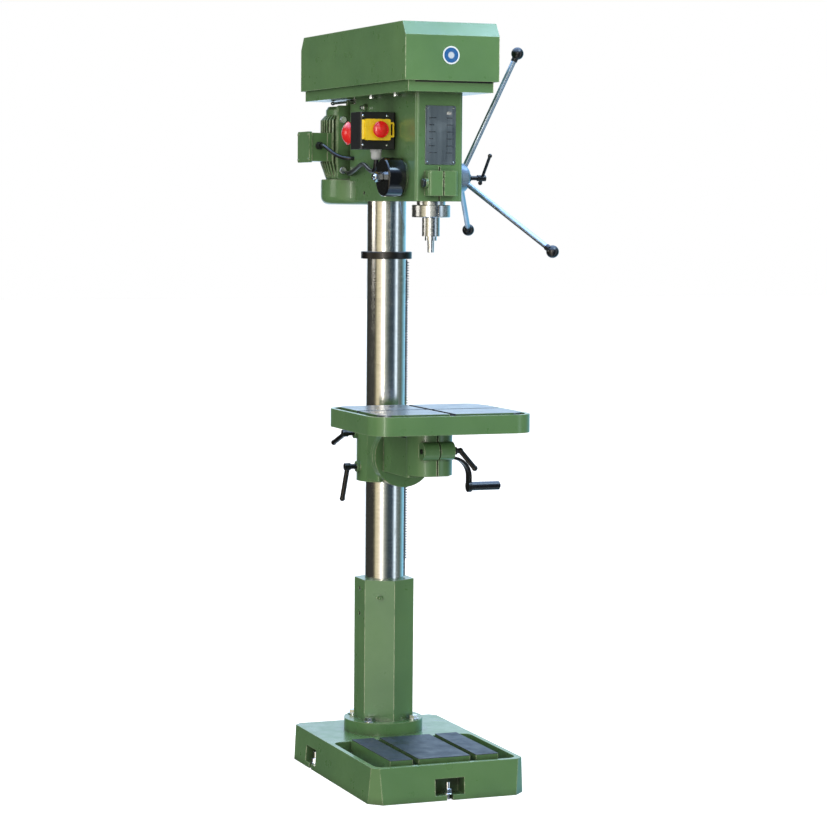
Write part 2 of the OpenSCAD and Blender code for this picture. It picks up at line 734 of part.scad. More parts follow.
module feed_hub() color(blue_steel) difference() {
    translate([0, feed_y, feed_z]) rotate([0, 90, 0]) rotate_extrude()
        polygon([[8.01, 58], [39.5, 58], [39.5, 72], [37.5, 73], [37.5, 76], [38.5, 77],
            [31, 96], [23, 103], [15, 105], [8.01, 105]]);
    at_arms() translate([0, 0, 20 - sliver]) cylinder(r = 6 + sliver, h = 60);
}

// Places one thing along each feed arm, with +Z running out along the arm
module at_arms() for (a = [0:120:240])
    translate([arm_root_x, feed_y, feed_z]) rotate([a + arm_phase, 0, 0])
        rotate([-90, 0, 0]) rotate([0, arm_lean, 0]) children();

module feed_arms() color(blue_steel) at_arms() translate([0, 0, 20]) cylinder(r = 6, h = arm_l - 34);

module feed_knobs() color(black) at_arms() translate([0, 0, arm_l]) rotate_extrude()
    difference() {
        union() {
            circle(r = 14.3);
            translate([-7.5, -20]) square([15, 12]);
        }
        translate([-30, -30]) square([30, 60]);
        translate([-1, -21]) square([7.01, 12]);
    }

module spring_cap() color(black)
    translate([0, feed_y, feed_z]) rotate([0, -90, 0]) rotate_extrude()
        polygon([[9, 101], [9, 104], [41, 104], [44, 101], [44, 62.1], [41, 62.1], [41, 101]]);

module return_spring() color(dark_steel) along_x(-93, -68) translate([feed_y, feed_z])
    polygon(concat(
        [for (i = [0:120]) let (a = i * 15, r = 11 + 28 * i / 120) [r * cos(a), r * sin(a)]],
        [for (i = [120:-1:0]) let (a = i * 15, r = 12.2 + 28 * i / 120) [r * cos(a), r * sin(a)]]));

module depth_lock_bar() color(black) {
    bar_x(5, 105.5, 130, feed_y, feed_z);
    bar_x(7, 129, 149, feed_y, feed_z);
    bar_x(8, 106, 112, feed_y, feed_z);
    bar([141, feed_y + 11, feed_z - 11], [141, feed_y - 45, feed_z + 50], 3.5);
    translate([141, feed_y + 11, feed_z - 11]) sphere(r = 5);
    translate([141, feed_y - 45, feed_z + 50]) sphere(r = 5);
}

// ---- Belt drive and hood ----

module belt_tray() color(green) difference() {
    block(-tray_w / 2, tray_w / 2, -tray_front, tray_rear, head_top, tray_lip);
    block(sheet - tray_w / 2, tray_w / 2 - sheet, sheet - tray_front, tray_rear - sheet,
        head_top + sheet, tray_lip + 1);
    bar_z(34, 0, spindle_y, head_top - 1, head_top + 3);
    plate(-32, 32, motor_y - 48, motor_y + 36, head_top - 1, head_top + 3, 20);
    for (x = [-tray_bolt_x, tray_bolt_x], y = tray_bolt_y)
        bar_z(3 + fit, x, y, head_top - 1, head_top + 3);
}

module hood_hinge() color(dark_steel) {
    bar_x(2.5, -70, 70, hinge_y, hinge_z);
    bar_x(5, -29.6, 29.6, hinge_y, hinge_z);
    block(-29.6, 29.6, tray_rear + sliver, hinge_y, hinge_z - 5, hinge_z - 2);
}

module hood() color(green) difference() {
    union() {
        along_x(-hood_w / 2, hood_w / 2) polygon([[-hood_front, hood_bottom], [hood_rear, hood_bottom],
            [hood_rear, total_h - hood_slope_z], [hood_rear - hood_slope_y, total_h],
            [hood_slope_y - hood_front, total_h], [-hood_front, total_h - hood_slope_z]]);
        for (x = [-70, 30]) {
            bar_x(5, x, x + 40, hinge_y, hinge_z);
            block(x, x + 40, hood_rear - 1, hinge_y + 1, hinge_z + 1, hood_bottom + 8);
        }
    }
    along_x(sheet - hood_w / 2, hood_w / 2 - sheet) polygon([[sheet - hood_front, hood_bottom - 1],
        [hood_rear - sheet, hood_bottom - 1], [hood_rear - sheet, total_h - hood_slope_z],
        [hood_rear - hood_slope_y - 1, total_h - sheet],
        [hood_slope_y + 1 - hood_front, total_h - sheet], [sheet - hood_front, total_h - hood_slope_z]]);
    bar_x(2.5 + fit, -71, 71, hinge_y, hinge_z);
}

module hood_label() color("royalblue")
    bar_y(20, -4, -hood_front - 0.8, -hood_front - sliver, 1664);

// Stepped pulley with one V groove a step
module stepped_pulley(radii, y, bore)
    rotate_extrude_at(y) polygon(concat(
        [[bore, pulley_z]],
        [for (i = [0:len(radii) - 1]) let (z = pulley_z + i * step_h, r = radii[i])
            each [[r, z], [r, z + 3], [r - 11, z + 5.2], [r - 11, z + step_h - 5.2],
                [r, z + step_h - 3], [r, z + step_h]]],
        [[bore, pulley_z + len(radii) * step_h]]));

module spindle_pulley() color([0.6, 0.61, 0.62]) {
    stepped_pulley(spindle_steps, spindle_y, spindle_r + 0.1);
    difference() {
        bar_z(19.9, 0, spindle_y, 1549, pulley_z + 1);
        bar_z(spindle_r + 0.1, 0, spindle_y, 1548, pulley_z + 2);
    }
}

module motor_pulley() color([0.6, 0.61, 0.62]) stepped_pulley(motor_steps, motor_y, shaft_r + sliver);

module pulley_bearings() color(bright) difference() {
    bar_z(sleeve_bearing_r, 0, spindle_y, 1550, 1580);
    bar_z(19.95, 0, spindle_y, 1549, 1581);
}

// Outline that wraps both pulleys at the given radii
function belt_outline(r1, r2) = let (tilt = asin((r1 - r2) / (motor_y - spindle_y))) concat(
    arc(0, motor_y, r2, tilt, 180 - tilt, 24), arc(0, spindle_y, r1, 180 - tilt, 360 + tilt, 24));

module drive_belt() color(black) {
    r1 = spindle_steps[belt_step] - 1;
    r2 = motor_steps[belt_step] - 1;
    translate([0, 0, pulley_z + (belt_step + 0.5) * step_h - belt_h / 2])
        linear_extrude(belt_h) difference() {
            polygon(belt_outline(r1, r2));
            polygon(belt_outline(r1 - belt_t, r2 - belt_t));
        }
}

// ---- Motor ----

// Upright plate that carries the motor, with the two rods that slide in the head
module motor_mount() color(green) difference() {
    union() {
        along_y(mount_y, mount_y + mount_t) polygon(round_rect(-82, 82, 1396, motor_top, 6));
        along_y(mount_y, mount_y + mount_t)
            polygon(round_rect(tension_x - 8, tension_x + 8, motor_top - 20, 1583.5, 3));
        for (x = [-rod_x, rod_x]) bar_y(rod_r, x, -5, mount_y + 1, rod_z);
    }
    bar_y(3 + sliver, tension_x, mount_y - 1, mount_y + mount_t + 1, tension_z);
    for (x = [-mount_bolt_x, mount_bolt_x], z = mount_bolt_z)
        bar_y(4 + fit, x, mount_y - 1, mount_y + mount_t + 1, z);
}

// Bolts of the motor's feet, and the rod that draws the motor back to tighten the belt
module motor_fixings() color(bright) {
    for (x = [-mount_bolt_x, mount_bolt_x], z = mount_bolt_z) {
        bar_y(4, x, mount_y - 2, mount_y + mount_t + 11, z);
        bar_y(8, x, mount_y - 1.6, mount_y - sliver, z);
        translate([x, mount_y - 1.5, z]) rotate([90, 0, 0]) hexagon(13, 5.5);
    }
    bar_y(3, tension_x, 42, 247, tension_z);
    bar_y(4.6, tension_x, 239, 246, tension_z);
}

module motor_housing() color(green) difference() {
    union() {
        intersection() {
            translate([0, motor_y, motor_bottom]) linear_extrude(motor_top - motor_bottom)
                polygon([for (i = [0:47]) for (p = [[-0.30, 0], [-0.16, 1], [0.16, 1], [0.30, 0]])
                    let (a = (i + p[0]) * 7.5, r = motor_core_r + p[1] * 14)
                    [r * cos(a), r * sin(a)]]);
            rotate_extrude_at(motor_y) polygon([[0, motor_bottom], [motor_core_r - 2, motor_bottom],
                [motor_r, 1435], [motor_r, 1537], [motor_core_r + 2, 1549], [0, 1549]]);
        }
        bar_z(cowl_r - 1.65, 0, motor_y, motor_bottom - 4, motor_bottom + 1);
        rotate_extrude_at(motor_y) polygon([[0, 1540], [motor_core_r - 0.5, 1540],
            [motor_core_r - 0.5, motor_top - 8], [motor_core_r - 6, motor_top], [0, motor_top]]);
        for (z = mount_bolt_z) {
            block(-78, 78, mount_y + mount_t + sliver, mount_y + mount_t + 9, z - 12, z + 12);
            block(-45, 45, mount_y + mount_t + 8, motor_y - 55, z - 11, z + 11);
        }
        block(-86.5, -60, box_front, box_rear, box_low, box_high);
    }
    bar_z(48, 0, motor_y, 1414, 1546);
    bar_z(shaft_r + fit, 0, motor_y, motor_bottom - 5, motor_top + 1);
    for (x = [-mount_bolt_x, mount_bolt_x], z = mount_bolt_z)
        bar_y(4 + fit, x, mount_y + mount_t - 1, mount_y + mount_t + 10, z);
}

module fan_cowl() color(green) difference() {
    rotate_extrude_at(motor_y) polygon(concat(
        [[0, cowl_bottom + 1.6], [0, cowl_bottom], [cowl_r - 19, cowl_bottom]],
        arc(cowl_r - 19, cowl_bottom + 19, 19, -90, 0, 8),
        [[cowl_r, motor_bottom], [cowl_r - 1.6, motor_bottom]],
        arc(cowl_r - 19, cowl_bottom + 19, 17.4, 0, -90, 8)));
    for (a = [0:30:330]) for (r = [22, 38, 54])
        translate([0, motor_y, cowl_bottom - 1]) rotate([0, 0, a]) translate([r, 0, 0])
            cylinder(r = 3.2, h = 5);
}

module motor_rotor() color(steel) {
    bar_z(shaft_r, 0, motor_y, 1350, 1682);
    bar_z(46, 0, motor_y, 1420, 1540);
}

module motor_fan() color(black) {
    difference() {
        union() {
            bar_z(20, 0, motor_y, 1358, 1388);
            bar_z(68, 0, motor_y, 1385, 1388);
            for (a = [0:45:315]) translate([0, motor_y, 0]) rotate([0, 0, a])
                block(15, 66, -1.2, 1.2, 1362, 1386);
        }
        bar_z(shaft_r + sliver, 0, motor_y, 1350, 1390);
    }
}

module terminal_box() color(green) difference() {
    block(-126, -86.5 - sliver, box_front, box_rear, box_low, box_high);
    block(-127, -89.5, box_front + 3, box_rear - 3, box_low + 3, box_high - 3);
    bar_y(7 + fit, gland_x, box_front - 1, box_front + 4, gland_z);
}

module terminal_lid() color(green) {
    along_x(-134, -126 - sliver)
        polygon(round_rect(box_front - 3, box_rear + 3, box_low - 3, box_high + 3, 6));
    for (y = [box_front + 4, box_rear - 4], z = [box_low + 4, box_high - 4])
        bar_x(3, -136, -133, y, z);
}

module terminal_gland() color("gray") difference() {
    union() {
        translate([gland_x, box_front - sliver, gland_z]) rotate([90, 0, 0]) hexagon(17, 6);
        translate([gland_x, box_front - 6, gland_z]) rotate([90, 0, 0]) cylinder(r1 = 8, r2 = 6.6, h = 11);
        bar_y(7, gland_x, box_front - 1, box_front + 5, gland_z);
    }
    bar_y(motor_lead_r + 0.7, gland_x, box_front - 25, box_front + 6, gland_z);
}

// ---- Switches and leads ----

module switch_box() color(black) difference() {
    plate(-142, -head_x - sliver, switch_front, -135, 1460, 1544, 5);
    plate(-138, -head_x - 4, switch_front + 6, -139, 1464, 1540, 3);
    bar_y(9, start_x, switch_front - 1, switch_front + 8, button_z);
    bar_z(7 + fit, switch_gland_x, -185, 1459, 1465);
}

module switch_flap() color("gold") {
    difference() {
        union() {
            along_y(switch_front - 11, switch_front - 1) polygon(round_rect(-134, -73, 1480, 1528, 4));
            along_y(switch_front - 9, switch_front - 5) polygon(round_rect(-76, -64, 1487, 1521, 3));
            bar_z(3.5, flap_hinge_x, switch_front - 5, 1482, 1526);
            block(flap_hinge_x, -132, switch_front - 8, switch_front - 3, 1484, 1524);
        }
        along_y(switch_front - 8, switch_front) polygon(round_rect(-131, -76, 1483, 1525, 3));
        along_y(switch_front - 12, switch_front) polygon(round_rect(-73 + sliver, -67, 1491, 1517, 2));
        bar_y(8.2, button_x, switch_front - 12, switch_front, button_z);
    }
}

module stop_button() color("red") translate([button_x, switch_front, button_z]) rotate([90, 0, 0])
    rotate_extrude() polygon(concat([[0, 4.5], [8, 4.5], [8, 17], [18, 17]],
        arc(15.5, 20.5, 3.5, -45, 60, 6), arc(0, 0, 27, 52, 90, 6)));

module start_button() color("green")
    bar_y(8.6, start_x, switch_front - 3, switch_front + 5.5, button_z);

module estop_box() color(black) difference() {
    plate(-121, -head_x - sliver, -128, -68, 1474, 1522, 5);
    plate(-117, -head_x - 4, -124, -72, 1478, 1518, 3);
    bar_x(10, -122, -115, estop_y, estop_z);
}

module estop_button() color("red") translate([-121, estop_y, estop_z]) rotate([0, -90, 0])
    rotate_extrude() polygon(concat([[0, -3], [9.6, -3], [9.6, 6], [23, 6]],
        arc(23, 9.5, 3.5, -90, 30, 6), arc(0, -6.9, 30.9, 37, 90, 8)));

module switch_gland() color("gray") difference() {
    union() {
        bar_z(7, switch_gland_x, -185, 1453, 1465);
        translate([switch_gland_x, -185, 1453.4]) hexagon(25, 6.5);
        translate([switch_gland_x, -185, 0]) rotate_extrude()
            polygon([[0, 1437], [8.5, 1437], [12, 1441], [12, 1453.8], [0, 1453.8]]);
    }
    bar_z(switch_lead_r + 0.3, switch_gland_x, -185, 1436, 1466);
}

module motor_lead() color(black) swept_tube(motor_route, motor_lead_r, lead_sides);
module switch_lead() color(black) swept_tube(switch_route, switch_lead_r, lead_sides);

base_casting();
hold_down_bolts();
column_foot();
foot_bolts();
clamp_screws();
column_tube();
rack_collar();
head_casting();
head_fixings();
data_plate();
belt_tray();
hood_hinge();
spring_cap();
return_spring();
switch_box();
estop_box();
switch_gland();
motor_lead();
switch_lead();
pulley_bearings();
drive_belt();
column_rack();
table_bracket();
lift_gear();
crank_shaft();
crank_arm();
crank_grip();
table_arm();
tilt_bolt();
work_table();
table_lock_lever();
upper_clamp_lever();
lower_clamp_lever();
quill();
quill_ring();
quill_bearings();
spindle();
taper_arbor();
spindle_pulley();
motor_mount();
motor_fixings();
motor_housing();
fan_cowl();
terminal_box();
terminal_lid();
terminal_gland();
motor_rotor();
motor_pulley();
motor_fan();
hood();
hood_label();
switch_flap();
stop_button();
start_button();
estop_button();
feed_shaft();
feed_hub();
feed_arms();
feed_knobs();
depth_lock_bar();
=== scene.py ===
import math

import bmesh
import bpy
from mathutils import Matrix, Vector


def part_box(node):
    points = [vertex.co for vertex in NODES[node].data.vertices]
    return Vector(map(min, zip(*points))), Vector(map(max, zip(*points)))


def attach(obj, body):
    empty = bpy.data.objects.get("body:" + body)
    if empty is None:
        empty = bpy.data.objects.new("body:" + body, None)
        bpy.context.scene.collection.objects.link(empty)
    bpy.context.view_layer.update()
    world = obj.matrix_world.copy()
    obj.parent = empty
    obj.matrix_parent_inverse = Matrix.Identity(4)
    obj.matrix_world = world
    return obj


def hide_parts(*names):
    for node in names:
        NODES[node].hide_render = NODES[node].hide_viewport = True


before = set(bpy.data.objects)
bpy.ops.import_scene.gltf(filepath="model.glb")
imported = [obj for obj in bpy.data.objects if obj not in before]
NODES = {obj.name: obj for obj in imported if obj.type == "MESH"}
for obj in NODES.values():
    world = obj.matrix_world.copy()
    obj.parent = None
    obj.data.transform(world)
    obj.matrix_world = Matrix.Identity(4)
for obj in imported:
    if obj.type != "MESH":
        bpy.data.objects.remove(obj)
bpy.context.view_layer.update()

MM = 0.001
SCENE = bpy.context.scene


# ---- Camera ----

def make_camera(place, yaw, pitch, roll, lens, shift):
    """A camera that looks along yaw (0 is +Y, turning towards +X) and pitch, in degrees."""
    yaw, pitch, roll = (math.radians(a) for a in (yaw, pitch, roll))
    ahead = Vector((math.sin(yaw) * math.cos(pitch), math.cos(yaw) * math.cos(pitch), math.sin(pitch)))
    right = Vector((math.cos(yaw), -math.sin(yaw), 0))
    up = right.cross(ahead)
    turned_right = math.cos(roll) * right + math.sin(roll) * up
    turned_up = -math.sin(roll) * right + math.cos(roll) * up
    data = bpy.data.cameras.new("camera")
    data.sensor_fit = "VERTICAL"
    data.sensor_height = 36
    data.lens = lens
    data.shift_x, data.shift_y = shift
    data.clip_end = 100
    camera = bpy.data.objects.new("camera", data)
    camera.matrix_world = Matrix.Translation(place) @ Matrix(
        (turned_right, turned_up, -ahead)).transposed().to_4x4()
    SCENE.collection.objects.link(camera)
    SCENE.camera = camera


make_camera((-2.190, -5.796, 1.3276), yaw=21.38, pitch=-5.04, roll=0.47, lens=113.3,
            shift=(-0.0031, 0.0280))


# ---- Shader helpers ----

class Shader:
    """Builds one node tree: add() makes a node, and sets or links its inputs."""

    def __init__(self, tree, keep=False):
        self.tree = tree
        if not keep:
            tree.nodes.clear()

    def add(self, kind, settings=None, **inputs):
        node = self.tree.nodes.new(kind)
        for key, value in (settings or {}).items():
            setattr(node, key, value)
        for key, value in inputs.items():
            self.put(node, key.replace("_", " ") if key[0] != "i" or not key[1:].isdigit()
                     else int(key[1:]), value)
        return node

    def put(self, node, key, value):
        socket = node.inputs[key]
        if isinstance(value, bpy.types.NodeSocket):
            self.tree.links.new(value, socket)
        else:
            socket.default_value = value

    def math(self, operation, a, b=0.0, clamp=False):
        return self.add("ShaderNodeMath", {"operation": operation, "use_clamp": clamp},
                        i0=a, i1=b).outputs[0]

    def noise(self, where, scale, detail=3.0, rough=0.5):
        return self.add("ShaderNodeTexNoise", Vector=where, Scale=scale, Detail=detail,
                        Roughness=rough).outputs["Fac"]

    def stretched(self, where, x, y, z):
        return self.add("ShaderNodeMapping", Vector=where, Scale=(x, y, z)).outputs[0]

    def step(self, value, low, high, to_low=0.0, to_high=1.0):
        return self.add("ShaderNodeMapRange", i0=value, i1=low, i2=high, i3=to_low,
                        i4=to_high).outputs[0]

    def mix(self, amount, a, b):
        node = self.add("ShaderNodeMix", {"data_type": "RGBA"})
        self.put(node, 0, amount)
        self.put(node, 6, a)
        self.put(node, 7, b)
        return node.outputs[2]

    def bump(self, height, distance, strength=1.0, normal=None):
        node = self.add("ShaderNodeBump", Height=height, Distance=distance, Strength=strength)
        if normal is not None:
            self.put(node, "Normal", normal)
        return node.outputs[0]


def rgb(r, g, b):
    return (r, g, b, 1.0)


def edge_mask(s, radius, spread):
    """1 on sharp or rounded edges and 0 on flat ground, from how a softened normal leaves the true one."""
    soft = s.add("ShaderNodeBevel", {"samples": 4}, Radius=radius).outputs[0]
    true = s.add("ShaderNodeNewGeometry").outputs["Normal"]
    dot = s.add("ShaderNodeVectorMath", {"operation": "DOT_PRODUCT"}, i0=soft, i1=true).outputs["Value"]
    return s.step(dot, 1.0 - 0.002, 1.0 - spread)


def finish_shader(s, **inputs):
    shader = s.add("ShaderNodeBsdfPrincipled", **inputs)
    out = s.add("ShaderNodeOutputMaterial")
    s.tree.links.new(shader.outputs[0], out.inputs[0])


def new_material(name):
    material = bpy.data.materials.new(name)
    material.use_nodes = True
    s = Shader(material.node_tree)
    where = s.add("ShaderNodeTexCoord").outputs["Object"]
    return material, s, where


# ---- Materials ----

GREEN = (0.102, 0.218, 0.083)


def painted(name, tint=1.0, peel=0.00003, grain=0.00006, dots=0.5, corner_shade=0.85):
    """Glossy green enamel: orange peel and cast grain, dark specks, painted shade in corners and recesses,
    and a painted pale highlight along upright edges.
    """
    material, s, where = new_material(name)
    shade, colour = s.noise(where, 7.0, 4.0), s.noise(where, 60.0, 4.0, 0.6)
    base = s.mix(s.step(shade, 0.3, 0.7), rgb(*(c * 0.90 * tint for c in GREEN)),
                 rgb(GREEN[0] * 1.12 * tint, GREEN[1] * 1.06 * tint, GREEN[2] * 1.02 * tint))
    base = s.mix(s.step(colour, 0.45, 0.75, 0.0, 0.12), base, rgb(*(c * 0.78 * tint for c in GREEN)))
    specks = s.add("ShaderNodeTexVoronoi", {"feature": "F1"}, Vector=where, Scale=110.0,
                   Randomness=1.0).outputs["Distance"]
    spots = s.math("MULTIPLY", s.step(specks, 0.07, 0.05), s.step(s.noise(where, 9.0, 1.0), 0.64, 0.68))
    base = s.mix(s.math("MULTIPLY", spots, dots), base, rgb(0.02, 0.035, 0.02))
    # Painted highlight: a pale cream line along the edges, strongest on upright ones and broken into
    # patches, stands in for light catching the edges.
    patchy = s.step(s.noise(where, 55.0, 4.0, 0.7), 0.36, 0.52)
    wear_and_highlight = s.math("MULTIPLY", edge_mask(s, 3.0 * MM, 0.10), patchy)
    turned = s.add("ShaderNodeBevel", {"samples": 4}, Radius=3.0 * MM).outputs[0]
    tilt = s.math("ABSOLUTE", s.add("ShaderNodeSeparateXYZ", Vector=turned).outputs[2])
    upright = s.step(tilt, 0.10, 0.30, 0.75, 0.15)
    base = s.mix(s.math("MULTIPLY", wear_and_highlight, upright), base, rgb(0.85, 0.86, 0.60))
    # Painted shade: ambient occlusion darkens corners, recesses and the gaps between parts to a dark brown,
    # broken up by a noise cloud and scaled per material.
    hidden = s.add("ShaderNodeAmbientOcclusion", {"samples": 4}, Distance=0.045).outputs["AO"]
    cloud = s.step(s.noise(where, 45.0, 4.0, 0.6), 0.25, 0.6, 0.4, 1.0)
    grime_and_shade = s.math("MULTIPLY", s.step(hidden, 0.74, 0.40), cloud)
    base = s.mix(s.math("MULTIPLY", grime_and_shade, corner_shade), base, rgb(0.030, 0.030, 0.018))
    rough = s.step(s.noise(where, 30.0, 3.0), 0.3, 0.7, 0.26, 0.40)
    normal = s.bump(s.noise(where, 110.0, 4.0, 0.65), grain)
    normal = s.bump(s.noise(where, 420.0, 2.0), peel, 1.0, normal)
    finish_shader(s, Base_Color=base, Roughness=rough, Normal=normal, Coat_Weight=0.35,
                  Coat_Roughness=0.10, Coat_IOR=1.45, Specular_IOR_Level=0.4)
    return material


def metal(name, colour, rough, streak=(1, 1, 1), grain=0.00002, stain=0.25, aniso=0.0, size=160.0,
          stain_colour=(0.16, 0.11, 0.07), wear_and_highlight=0.0):
    """Bare metal with machining lines along one direction, faint stains and, if asked, bright edges rubbed
    bare.
    """
    material, s, where = new_material(name)
    lines = s.noise(s.stretched(where, *streak), size, 3.0, 0.6)
    blotch = s.noise(where, 22.0, 5.0, 0.65)
    base = s.mix(s.step(lines, 0.3, 0.7), rgb(*(c * 0.86 for c in colour)),
                 rgb(*(min(1, c * 1.1) for c in colour)))
    base = s.mix(s.step(blotch, 0.52, 0.74, 0.0, stain), base, rgb(*stain_colour))
    if wear_and_highlight:
        edge = s.math("MULTIPLY", edge_mask(s, 0.8 * MM, 0.08), s.step(s.noise(where, 90.0, 3.0), 0.35, 0.6))
        base = s.mix(s.math("MULTIPLY", edge, wear_and_highlight), base, rgb(0.55, 0.54, 0.52))
    roughness = s.math("ADD", s.step(lines, 0.25, 0.75, rough * 0.75, rough * 1.25),
                       s.step(blotch, 0.5, 0.8, 0.0, 0.12))
    finish_shader(s, Base_Color=base, Metallic=1.0, Roughness=roughness, Anisotropic=aniso,
                  Normal=s.bump(lines, grain))
    return material


def plastic(name, colour, rough, grain=0.00003, coat=0.0, size=900.0, wear=0.25):
    """Moulded plastic or gloss lacquer: fine texture, handling marks and slightly paler edges."""
    material, s, where = new_material(name)
    smudge = s.noise(where, 35.0, 4.0, 0.6)
    base = s.mix(s.step(smudge, 0.35, 0.7), rgb(*(c * 0.88 for c in colour)),
                 rgb(*(min(1, c * 1.08 + 0.002) for c in colour)))
    edge = s.math("MULTIPLY", edge_mask(s, 0.8 * MM, 0.08), s.step(s.noise(where, 120.0, 3.0), 0.4, 0.65))
    base = s.mix(s.math("MULTIPLY", edge, wear), base, rgb(*(min(1, c * 1.5 + 0.05) for c in colour)))
    finish_shader(s, Base_Color=base, Roughness=s.step(smudge, 0.3, 0.75, rough * 0.85, rough * 1.3),
                  Coat_Weight=coat, Coat_Roughness=0.06,
                  Normal=s.bump(s.noise(where, size, 2.0), grain))
    return material


def box_mask(s, where, low, high, soft=0.0003):
    """1 inside a box, 0 outside it."""
    parts = s.add("ShaderNodeSeparateXYZ", Vector=where).outputs
    mask = None
    for axis in range(3):
        inside = s.math("MULTIPLY", s.step(parts[axis], low[axis] - soft, low[axis]),
                        s.step(parts[axis], high[axis] + soft, high[axis]))
        mask = inside if mask is None else s.math("MULTIPLY", mask, inside)
    return mask


def machined_casting(name, low, high, colour, rough, streak, dirt, tint=1.0, edge_brown=0.4):
    """Green enamel with one machined area left bare, inside the box from low to high."""
    material = painted(name, tint)
    s = Shader(material.node_tree, keep=True)
    out = next(n for n in s.tree.nodes if n.type == "OUTPUT_MATERIAL")
    paint = next(n for n in s.tree.nodes if n.type == "BSDF_PRINCIPLED")
    where = s.add("ShaderNodeTexCoord").outputs["Object"]
    lines = s.noise(s.stretched(where, *streak), 140.0, 3.0, 0.6)
    cloud = s.noise(where, 26.0, 5.0, 0.6)
    base = s.mix(s.step(lines, 0.3, 0.7), rgb(*(c * 0.85 for c in colour)), rgb(*(c * 1.12 for c in colour)))
    base = s.mix(s.step(cloud, 0.45, 0.75, 0.0, dirt), base, rgb(0.05, 0.045, 0.04))
    brown = s.math("MULTIPLY", edge_mask(s, 2.5 * MM, 0.05), s.step(s.noise(where, 40.0, 4.0), 0.3, 0.6))
    base = s.mix(s.math("MULTIPLY", brown, edge_brown), base, rgb(0.10, 0.055, 0.025))
    bare = s.add("ShaderNodeBsdfPrincipled", Base_Color=base, Metallic=0.85,
                 Roughness=s.step(cloud, 0.3, 0.7, rough * 0.8, rough * 1.3),
                 Normal=s.bump(lines, 0.000006))
    both = s.add("ShaderNodeMixShader", Fac=box_mask(s, where, low, high))
    s.tree.links.new(paint.outputs[0], both.inputs[1])
    s.tree.links.new(bare.outputs[0], both.inputs[2])
    s.tree.links.new(both.outputs[0], out.inputs[0])
    return material


def label_material(name, centre, radius):
    """A blue disc with a white ring round it and a pale middle, printed on glossy film."""
    material, s, where = new_material(name)
    away = s.add("ShaderNodeVectorMath", {"operation": "DISTANCE"}, i0=where, i1=centre).outputs["Value"]
    middle = s.step(away, radius * 0.42, radius * 0.30, 0.0, 0.7)
    ring = s.math("ADD", s.step(away, radius * 0.82, radius * 0.86), middle)
    grime_and_shade = s.step(s.noise(where, 220.0, 3.0), 0.55, 0.8, 0.0, 0.25)
    base = s.mix(ring, rgb(0.02, 0.12, 0.34), rgb(0.80, 0.84, 0.86))
    base = s.mix(grime_and_shade, base, rgb(0.25, 0.27, 0.27))
    finish_shader(s, Base_Color=base, Roughness=s.step(s.noise(where, 90.0), 0.3, 0.7, 0.22, 0.36),
                  Coat_Weight=0.4, Normal=s.bump(s.noise(where, 700.0), 0.00002))
    return material


def belt_material(name):
    """Black rubber with a fine cross weave and dusty faces."""
    material, s, where = new_material(name)
    weave = s.add("ShaderNodeTexWave", {"wave_type": "BANDS", "bands_direction": "DIAGONAL"}, Vector=where,
                  Scale=420.0, Distortion=0.5).outputs["Fac"]
    dust = s.noise(where, 60.0, 4.0, 0.6)
    base = s.mix(s.step(dust, 0.4, 0.75, 0.0, 0.4), rgb(0.012, 0.012, 0.013), rgb(0.06, 0.056, 0.05))
    finish_shader(s, Base_Color=base, Roughness=s.step(dust, 0.3, 0.7, 0.55, 0.8),
                  Normal=s.bump(weave, 0.00005))
    return material


def pad_box():
    """The corners of the base's machined pads."""
    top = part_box("base_casting")[1].z
    return (-0.1325, -0.3955, top - 0.0012), (0.1325, -0.1415, top + 0.001)


def table_box():
    """The corners of the table's machined area: everything above the gutter's floor, inside the rim."""
    low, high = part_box("work_table")
    inset = 0.0224
    return ((low.x + inset, low.y + inset, high.z - 0.0225),
            (high.x - inset, high.y - inset, high.z + 0.001))


